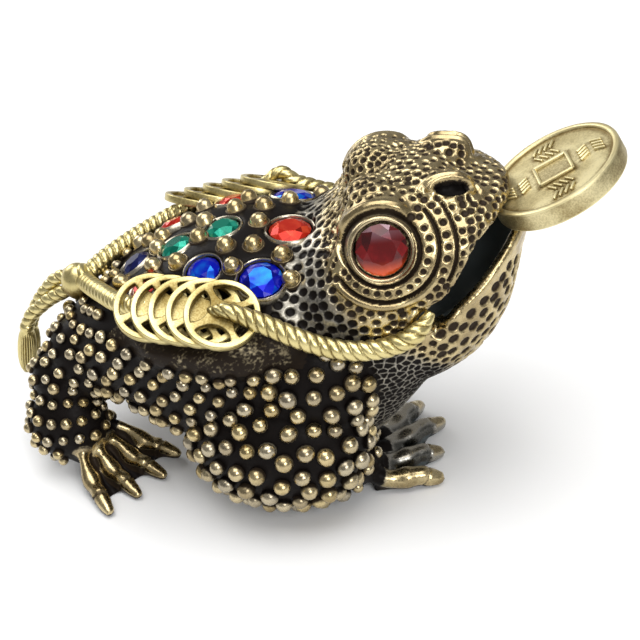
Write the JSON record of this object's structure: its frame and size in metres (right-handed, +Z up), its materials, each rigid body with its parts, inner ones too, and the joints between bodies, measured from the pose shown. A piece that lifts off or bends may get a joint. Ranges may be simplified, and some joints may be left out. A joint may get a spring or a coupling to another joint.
{
  "type": "money toad figure",
  "caption": "Cast three-legged toad figure with raised head, a coin held in its mouth, a rope-and-coin harness over its back and set coloured stones.",
  "frame": {"origin": "on the ground under the middle of the whole object's box", "axes": "+X towards the snout, +Y to the toad's left, +Z up"},
  "size_m": [0.0934, 0.0476, 0.0512],
  "materials": {
    "dark_brass": "antiqued cast brass, black in the hollows and rubbed gold on the raised parts",
    "pale_gold": "satin pale gold plating",
    "eye_red": "faceted, glossy",
    "red": "faceted, glossy",
    "green": "faceted, glossy",
    "blue": "faceted, glossy",
    "night_blue": "faceted, glossy"
  },
  "bodies": {
    "root": {"toad_body": "dark_brass", "mouth_coin": "pale_gold", "rope_and_coin_harness": "pale_gold", "eye_stone_right": "eye_red", "eye_stone_left": "eye_red", "back_stone_centre_1": "red", "back_stone_centre_2": "green", "back_stone_centre_3": "green", "back_stone_centre_4": "night_blue", "back_stone_right_1": "blue", "back_stone_right_2": "blue", "back_stone_right_3": "red", "back_stone_left_1": "blue", "back_stone_left_2": "red", "back_stone_left_3": "red"}
  },
  "joints": []
}
